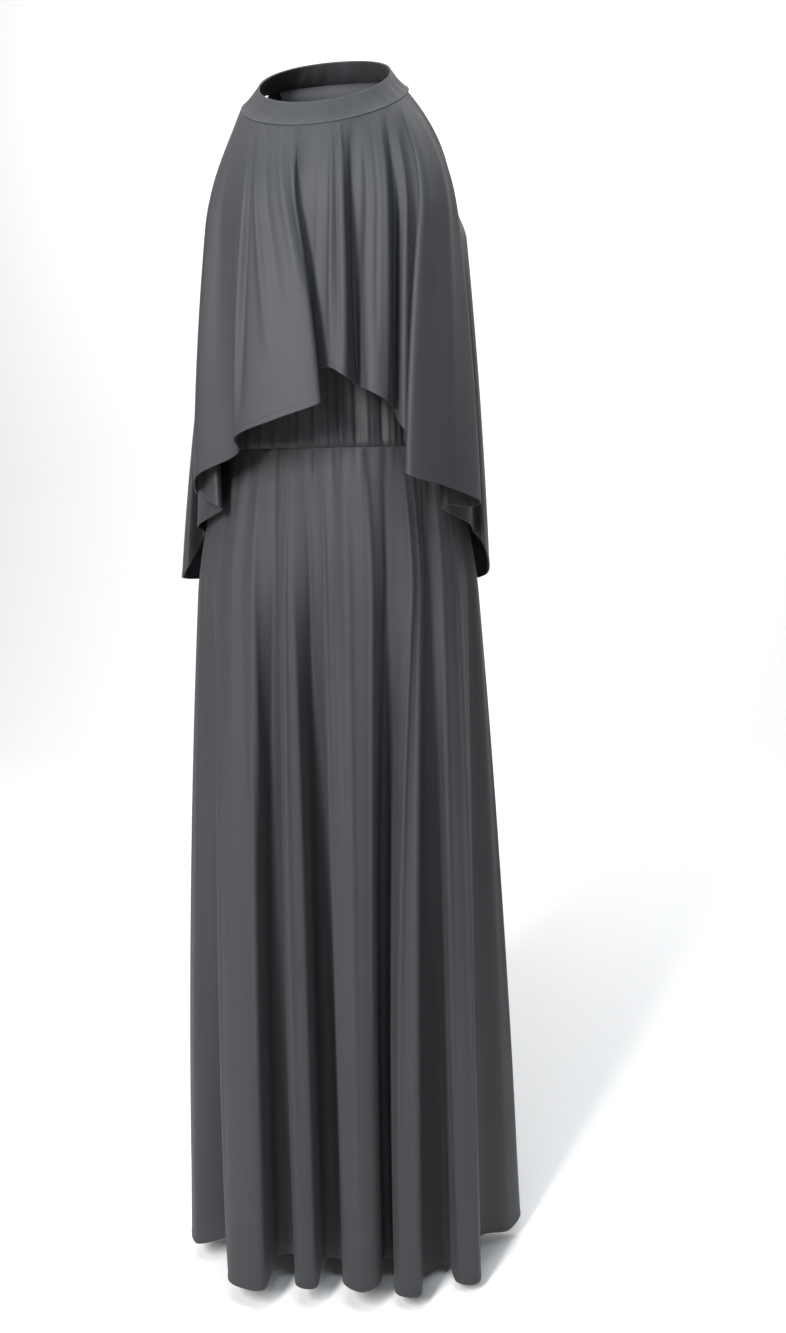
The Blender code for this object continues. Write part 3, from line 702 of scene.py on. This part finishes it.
def flounceGrid(panel):
    # the two panels share one ring at the bust and the hem; the neck angle runs along the neckband
    ring = flounceFront + flounceBack
    frontCount, whole = len(flounceFront), len(ring)
    bust = polar(radians(column(ring, 2)), column(ring, 3), flounce["bustHeight"])
    hem = polar(radians(column(ring, 4)), column(ring, 5), column(ring, 6))
    neckAngles = column(ring, 1)
    if panel == "front":
        first, last = 0, frontCount
        known = np.append(neckAngles[:frontCount], flounce["frontEdge"])
        cut, count = flounce["frontCut"], flounce["frontColumns"]
    else:
        first, last = frontCount, whole
        known = np.append(neckAngles[frontCount:], 360.0 - flounce["backEdge"])
        known[0] = flounce["backEdge"]
        cut, count = flounce["backCut"], flounce["backColumns"]
    spots = evenPlaces(hem, first, last, count)
    across = np.interp(spots, np.arange(first - 1, last + 2), beyond(known))
    neck = radians(across)
    low = bandPoint(neck, np.zeros_like(neck))
    away = unit(low - bandPoint(neck, np.full_like(neck, 0.05)))
    top = low + away * cloth["seamGap"]
    down = downRows(flounce["rows"], flounce["drop"], True)
    rightward = np.clip(np.sin(neck), 0.0, 1.0)[:, None] ** 2
    leave = flounce["leaveLeft"] + (flounce["leaveRight"] - flounce["leaveLeft"]) * rightward
    bust, hem = alongLoop(bust, spots), alongLoop(hem, spots)
    grid = hang(top, bust, hem, down, flounce["bustShare"], flounce["flare"], leave)
    high = np.clip(down / flounce["bustShare"], 0.0, 1.0)
    bulge = np.sin(np.pi * high**2) * (high < 1.0)
    near = np.exp(-(((spots - first) / flounce["cutSpread"]) ** 2))
    near = near - np.exp(-(((last - spots) / flounce["cutSpread"]) ** 2))
    grid = turn(grid, radians(cut) * near[:, None] * bulge[None, :])
    relief = softWobble(across, down, flounce["wobble"], 11)
    pleats = gathers(across, down, flounce["pleats"], flounce["pleatDepth"], flounce["pleatFall"], 3)
    relief += pleats * np.clip(down / flounce["pleatStart"], 0.0, 1.0)
    relief += creases(across, down, flounceCreases)
    edge = np.clip(np.minimum(spots - first, last - spots) / flounce["edgeSpread"], 0.0, 1.0)[:, None]
    return pushOut(grid, relief * edge), away[1:-1]


overlayFrontGrid, overlayFrontStart = flounceGrid("front")
overlayBackGrid, overlayBackStart = flounceGrid("back")
overlayFront = sheetShell(
    "flounce_front_cloth", overlayFrontGrid, cloth["wall"], False, jersey, overlayFrontStart, hem=True
)
overlayBack = sheetShell(
    "flounce_back_cloth", overlayBackGrid, cloth["wall"], False, jersey, overlayBackStart, hem=True
)

# Skirt
skirt = {
    "hipHeight": -0.5800,
    "hipShare": 0.17,
    "flare": 0.38,
    "leave": 1.25,
    "frontColumns": 470,
    "backColumns": 470,
    "rows": 92,
    "wobble": 0.0022,
    "gathers": 44,
    "gatherDepth": 0.0013,
    "gatherFall": 0.030,
    "gatherStart": 0.006,
    "drop": 1.04,
    "edgeSpread": 0.5,
}
skirtFront = [
    # name, hip angle, hip radius, hem angle, hem radius, hem height
    ("left seam", -90.0, 0.1720, -88.0, 0.2240, -1.4400),
    ("fold 1 end", -75.0, 0.1680, -75.0, 0.2160, -1.4420),
    ("valley 1", -64.0, 0.1550, -70.0, 0.1500, -1.4270),
    ("fold 2 start", -53.0, 0.1530, -50.0, 0.1880, -1.4380),
    ("fold 2 middle", -43.0, 0.1490, -42.0, 0.1820, -1.4380),
    ("fold 2 end", -34.0, 0.1430, -34.6, 0.1650, -1.4370),
    ("valley 2 start", -27.0, 0.1290, -48.5, 0.1190, -1.4310),
    ("valley 2 end", -20.5, 0.1270, -42.5, 0.1030, -1.4310),
    ("fold 3 start", -16.0, 0.1330, -23.3, 0.1360, -1.4360),
    ("fold 3 end", -11.5, 0.1310, -13.8, 0.1270, -1.4380),
    ("valley 3 start", -5.8, 0.1200, -23.5, 0.0740, -1.4380),
    ("valley 3 end", 0.5, 0.1185, -7.0, 0.0660, -1.4400),
    ("fold 4 start", 5.5, 0.1260, 3.0, 0.1165, -1.4340),
    ("fold 4 middle", 17.5, 0.1255, 13.5, 0.1275, -1.4360),
    ("fold 4 end", 28.5, 0.1290, 23.6, 0.1180, -1.4350),
    ("valley 4 start", 35.5, 0.1210, 38.5, 0.0720, -1.4390),
    ("valley 4 end", 41.5, 0.1205, 47.0, 0.0790, -1.4390),
    ("fold 5 start", 48.5, 0.1340, 34.2, 0.1260, -1.4500),
    ("fold 5 end", 54.8, 0.1345, 43.0, 0.1430, -1.4500),
    ("valley 5 start", 60.0, 0.1305, 60.0, 0.1140, -1.4540),
    ("valley 5 end", 64.5, 0.1310, 75.0, 0.1300, -1.4560),
    ("fold 6 start", 69.0, 0.1430, 66.0, 0.1560, -1.4590),
    ("fold 6 end", 78.0, 0.1520, 71.3, 0.1790, -1.4600),
]
skirtBack = [
    # name, hip angle, hip radius, hem angle, hem radius, hem height
    ("right seam", 90.0, 0.1570, 92.0, 0.1640, -1.4430),
    ("fold 7 start", 98.0, 0.1680, 101.0, 0.2060, -1.4520),
    ("fold 7 end", 106.0, 0.1660, 108.0, 0.2250, -1.4450),
    ("valley 7", 114.0, 0.1570, 116.0, 0.1540, -1.4420),
    ("fold 8 start", 122.0, 0.1590, 124.0, 0.1930, -1.4480),
    ("fold 8 end", 130.0, 0.1540, 133.0, 0.2020, -1.4500),
    ("valley 8", 138.0, 0.1430, 140.0, 0.1280, -1.4430),
    ("fold 9 start", 146.0, 0.1470, 147.0, 0.1700, -1.4460),
    ("fold 9 end", 155.0, 0.1440, 155.5, 0.1740, -1.4480),
    ("valley 9", 164.0, 0.1330, 164.0, 0.1040, -1.4420),
    ("fold 10 start", 172.0, 0.1400, 173.0, 0.1490, -1.4450),
    ("fold 10 end", 182.0, 0.1400, 183.0, 0.1530, -1.4480),
    ("valley 10", 191.0, 0.1310, 190.0, 0.1000, -1.4420),
    ("fold 11 start", 199.0, 0.1400, 196.0, 0.1520, -1.4470),
    ("fold 11 end", 208.0, 0.1430, 206.0, 0.1640, -1.4500),
    ("valley 11", 217.0, 0.1360, 213.0, 0.1180, -1.4440),
    ("fold 12 start", 225.0, 0.1480, 220.0, 0.1760, -1.4450),
    ("fold 12 end", 234.0, 0.1530, 230.0, 0.1890, -1.4480),
    ("valley 12", 243.0, 0.1480, 237.0, 0.1430, -1.4420),
    ("fold 13 start", 250.0, 0.1600, 244.0, 0.1980, -1.4440),
    ("fold 13 end", 257.0, 0.1650, 252.0, 0.2100, -1.4450),
    ("valley 13", 263.0, 0.1640, 261.0, 0.1800, -1.4400),
]
skirtSettling = [
    # name, hip angle, how much sooner the fold takes its hem shape, half width
    ("valley 2", -23.0, 1.00, 7.5),
    ("valley 3", -1.0, 1.35, 8.5),
    ("valley 4", 39.0, 1.20, 9.0),
    ("valley 5", 59.0, 0.90, 7.0),
    ("valley 1", -64.0, 0.60, 7.0),
    ("valley 8", 138.0, 0.45, 8.0),
    ("valley 9", 164.0, 0.55, 8.0),
    ("valley 10", 191.0, 0.55, 8.0),
    ("valley 11", 217.0, 0.50, 8.0),
]
skirtCreases = [
    # name, hip angle at the top, at the end, from share, to share, height, width
    ("left side crest", -80.0, -83.0, 0.02, 0.90, 0.0024, 2.6),
    ("left side groove", -72.0, -71.0, 0.05, 0.80, -0.0026, 2.4),
    ("fold 2 crest", -56.0, -53.5, 0.01, 0.99, 0.0042, 1.3),
    ("fold 2 roll", -45.0, -43.0, 0.01, 0.60, 0.0024, 2.0),
    ("fold 2 hollow", -39.0, -35.0, 0.02, 0.80, -0.0034, 3.0),
    ("fold 2 rib", -33.0, -31.0, 0.01, 0.45, 0.0026, 1.5),
    ("valley 2 hollow", -24.5, -24.5, 0.01, 0.55, -0.0040, 2.2),
    ("fold 3 crest", -15.2, -15.0, 0.01, 0.99, 0.0042, 0.9),
    ("fold 3 shoulder", -11.0, -11.0, 0.15, 0.95, 0.0012, 0.9),
    ("valley 3 hollow", -4.5, -3.0, 0.02, 0.50, -0.0040, 1.9),
    ("fold 4 edge", 4.5, 7.4, 0.01, 0.99, 0.0040, 1.0),
    ("fold 4 groove", 10.0, 11.0, 0.12, 0.90, -0.0012, 1.4),
    ("fold 4 crest", 17.0, 16.0, 0.02, 0.95, 0.0022, 1.6),
    ("fold 4 rib", 28.5, 26.5, 0.01, 0.70, 0.0024, 1.3),
    ("valley 4 hollow", 38.5, 38.5, 0.01, 0.45, -0.0040, 2.2),
    ("fold 5 edge", 49.2, 49.8, 0.01, 0.99, 0.0034, 0.9),
    ("fold 5 crest", 54.3, 54.5, 0.01, 0.99, 0.0036, 1.0),
    ("valley 5 hollow", 61.5, 61.0, 0.02, 0.60, -0.0030, 1.8),
    ("fold 6 edge", 69.0, 68.8, 0.04, 0.99, 0.0030, 1.1),
    ("fold 6 crest", 77.5, 77.5, 0.01, 0.99, 0.0036, 1.1),
    ("fold 6 fall", 83.5, 83.0, 0.10, 0.90, -0.0022, 1.9),
    ("right back crest", 102.0, 104.0, 0.05, 0.90, 0.0026, 1.7),
    ("fold 8 crest", 127.0, 125.5, 0.02, 0.90, 0.0030, 1.5),
    ("valley 8 hollow", 138.0, 138.0, 0.02, 0.50, -0.0034, 2.2),
    ("fold 9 crest", 150.0, 152.0, 0.02, 0.90, 0.0028, 1.5),
    ("valley 9 hollow", 164.0, 164.5, 0.02, 0.55, -0.0036, 2.2),
    ("fold 10 crest", 176.0, 177.0, 0.02, 0.92, 0.0028, 1.5),
    ("fold 11 crest", 203.0, 202.0, 0.02, 0.88, 0.0030, 1.5),
    ("valley 11 hollow", 217.0, 216.0, 0.02, 0.50, -0.0034, 2.2),
    ("fold 12 crest", 229.0, 230.5, 0.02, 0.90, 0.0028, 1.7),
    ("fold 13 crest", 254.0, 252.5, 0.02, 0.90, 0.0028, 1.7),
]


def bells(across, rows):
    # sum of amount * bell of (across - place) / width
    return sum(row[2] * np.exp(-(((across - row[1]) / row[3]) ** 2)) for row in rows)


def skirtGrid(panel):
    # waist oval, hip ring and hem ring; the fold table sets the last two
    ring = skirtFront + skirtBack
    frontCount, whole = len(skirtFront), len(ring)
    hip = polar(radians(column(ring, 1)), column(ring, 2), skirt["hipHeight"])
    hem = polar(radians(column(ring, 3)), column(ring, 4), column(ring, 5))
    angles = column(ring, 1)
    angles = np.concatenate([angles[-1:] - 360.0, angles, angles[:2] + 360.0])
    first, last = (0, frontCount) if panel == "front" else (frontCount, whole)
    spots = evenPlaces(hem, first, last, skirt[panel + "Columns"])
    across = np.interp(spots, np.arange(-1, whole + 2), angles)
    waist = radians(across)
    waistHeight = bodice["waistHeight"] - 0.5 * cloth["seamGap"]
    top = polar(waist, ovalRadius(waist, bodice["waistOval"]), waistHeight)
    down = downRows(skirt["rows"], skirt["drop"], True)
    flare = skirt["flare"] + bells(across, skirtSettling)
    hip, hem = alongLoop(hip, spots), alongLoop(hem, spots)
    grid = hang(top, hip, hem, down, skirt["hipShare"], flare, skirt["leave"])
    relief = softWobble(across, down, skirt["wobble"], 23)
    ruching = gathers(across, down, skirt["gathers"], skirt["gatherDepth"], skirt["gatherFall"], 8)
    relief += ruching * np.clip(down / skirt["gatherStart"], 0.0, 1.0)
    relief += creases(across, down, skirtCreases)
    edge = np.clip(np.minimum(spots - first, last - spots) / skirt["edgeSpread"], 0.0, 1.0)[:, None]
    return pushOut(grid, relief * edge)


skirtFrontPiece = sheetShell(
    "skirt_front_cloth", skirtGrid("front"), cloth["wall"], False, jersey, plumb, hem=True
)
skirtBackPiece = sheetShell(
    "skirt_back_cloth", skirtGrid("back"), cloth["wall"], False, jersey, plumb, hem=True
)
print("cloth built")


sewn = [
    # piece, node, flat width and greatest length, how it is held, what it hangs from,
    # and top edge, hem edge and mean length where the cut isn't a rectangle
    (neckband, "neckband", (0.57, 0.034), "stretched", "flounce_front_cloth", None),
    (bodiceFront, "bodice_front", (0.42, 0.40), "hung", "neckband_cloth", (0.29, 0.42, 0.36)),
    (bodiceBack, "bodice_back", (0.40, 0.45), "hung", "neckband_cloth", (0.16, 0.40, 0.44)),
    (overlayFront, "overlay_front", (1.10, 0.51), "draped", "neckband_cloth", (0.33, 1.10, 0.40)),
    (overlayBack, "overlay_back", (0.75, 0.63), "draped", "neckband_cloth", (0.19, 0.75, 0.61)),
    (skirtFrontPiece, "skirt_front", (0.96, 1.06), "gathered", "bodice_front_cloth", (0.43, 0.96, 1.04)),
    (skirtBackPiece, "skirt_back", (1.09, 1.06), "gathered", "bodice_back_cloth", (0.43, 1.09, 1.04)),
]
for piece, node, flat, held, restsOn, cut in sewn:
    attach(piece, "root")
    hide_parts(node)


def aim(item, axes):
    # the matrix's columns are the item's own x, y and z ways and its place
    matrix = Matrix.Identity(4)
    for place, axis in enumerate(axes):
        for row in range(3):
            matrix[row][place] = float(axis[row])
    item.matrix_world = matrix


# Camera, as the photograph was taken
lens = {
    "distance": 1.39,
    "azimuth": 12.0,
    "height": -0.425,  # below the neck opening
    "turn": 2.62,
    "pitch": 10.0,
    "roll": 1.2,
    "focal": 30.79,
}
azimuth, turnAngle, pitch, roll = (radians(lens[key]) for key in ("azimuth", "turn", "pitch", "roll"))
outWay = np.array([np.sin(azimuth), -np.cos(azimuth), 0.0])
sideWay = np.array([np.cos(azimuth), np.sin(azimuth), 0.0])
level = -outWay * np.cos(turnAngle) + sideWay * np.sin(turnAngle)
right = unit(np.cross(level, [0.0, 0.0, 1.0]))
forward = level * np.cos(pitch) - np.array([0.0, 0.0, 1.0]) * np.sin(pitch)
upward = np.cross(right, forward)
rolledRight = right * np.cos(roll) - upward * np.sin(roll)
rolledUp = upward * np.cos(roll) + right * np.sin(roll)
eye = outWay * lens["distance"] + np.array([0.0, 0.0, lens["height"]])
cameraData = bpy.data.cameras.new("camera")
cameraData.lens = lens["focal"]
cameraData.sensor_width = 36.0
cameraData.clip_start = 0.05
camera = bpy.data.objects.new("camera", cameraData)
aim(camera, (rolledRight, rolledUp, -forward, eye))
bpy.context.scene.collection.objects.link(camera)
bpy.context.scene.camera = camera

# Floor and backdrop: one pale sheet that curves up behind
studio = {
    "floor": -1.475,
    "halfWidth": 5.0,
    "front": -4.0,
    "bend": 2.6,
    "bendRadius": 1.2,
    "top": 3.4,
    "pale": (0.86, 0.86, 0.86),
    "world": (0.90, 0.93, 1.0),
    "worldStrength": 0.15,
}
bendAngles = np.linspace(0.0, 0.5 * np.pi, 24)
bendAway = studio["bend"] + studio["bendRadius"] * np.sin(bendAngles)
bendUp = studio["floor"] + studio["bendRadius"] * (1.0 - np.cos(bendAngles))
profile = np.concatenate([
    [(studio["front"], studio["floor"])],
    np.column_stack([bendAway, bendUp]),
    [(studio["bend"] + studio["bendRadius"], studio["top"])],
])
sheetPoints = np.concatenate([
    np.column_stack([np.full(len(profile), side * studio["halfWidth"]), profile]) for side in (-1.0, 1.0)
])
spine = np.arange(len(profile) - 1)
sheetFaces = np.stack([spine, spine + len(profile), spine + len(profile) + 1, spine + 1], axis=1)
backdropMesh = bpy.data.meshes.new("backdrop")
backdropMesh.from_pydata(sheetPoints.tolist(), [], sheetFaces.tolist())
backdropMesh.polygons.foreach_set("use_smooth", np.ones(len(sheetFaces), dtype=bool))
backdropMaterial = bpy.data.materials.new("backdrop")
backdropMaterial.use_nodes = True
backdropShader = backdropMaterial.node_tree.nodes["Principled BSDF"]
backdropShader.inputs["Base Color"].default_value = (*studio["pale"], 1.0)
backdropShader.inputs["Roughness"].default_value = 0.9
backdropMesh.materials.append(backdropMaterial)
backdrop = bpy.data.objects.new("backdrop", backdropMesh)
bpy.context.scene.collection.objects.link(backdrop)

world = bpy.data.worlds.new("studio")
world.use_nodes = True
world.node_tree.nodes["Background"].inputs["Color"].default_value = (*studio["world"], 1.0)
world.node_tree.nodes["Background"].inputs["Strength"].default_value = studio["worldStrength"]
bpy.context.scene.world = world

# Soft lights: a large key from the upper left, weak ones from the right, above and behind,
# and one on the backdrop
lights = [
    # name, place, aimed at, size, height, power, colour
    ("key", (-0.75, -2.2, 0.75), (0.0, 0.0, -0.65), 0.45, 1.3, 122.0, (1.0, 0.99, 0.98)),
    ("fill", (0.9, -1.5, 1.3), (0.0, 0.0, -0.1), 0.6, 0.6, 15.0, (0.90, 0.96, 1.0)),
    ("top", (0.0, -1.1, 1.5), (0.0, 0.0, -0.2), 0.8, 0.6, 24.0, (0.90, 0.96, 1.0)),
    ("back", (1.7, 2.0, 0.9), (0.0, 0.0, -0.6), 0.8, 1.4, 14.0, (0.96, 0.98, 1.0)),
    ("backdrop light", (0.0, 1.6, 2.4), (0.0, 3.6, -0.6), 4.0, 1.0, 110.0, (1.0, 1.0, 1.0)),
]
for name, place, target, wide, tall, power, colour in lights:
    lamp = bpy.data.lights.new(name, "AREA")
    lamp.shape = "RECTANGLE"
    lamp.size, lamp.size_y = wide, tall
    lamp.energy = power
    lamp.color = colour
    item = bpy.data.objects.new(name, lamp)
    bpy.context.scene.collection.objects.link(item)
    back = unit(np.array(place) - np.array(target))
    across = unit(np.cross([0.0, 0.0, 1.0], back))
    over = np.cross(back, across)
    aim(item, (across, over, back, place))
bpy.context.scene.view_settings.view_transform = "Standard"
print("stage ready")
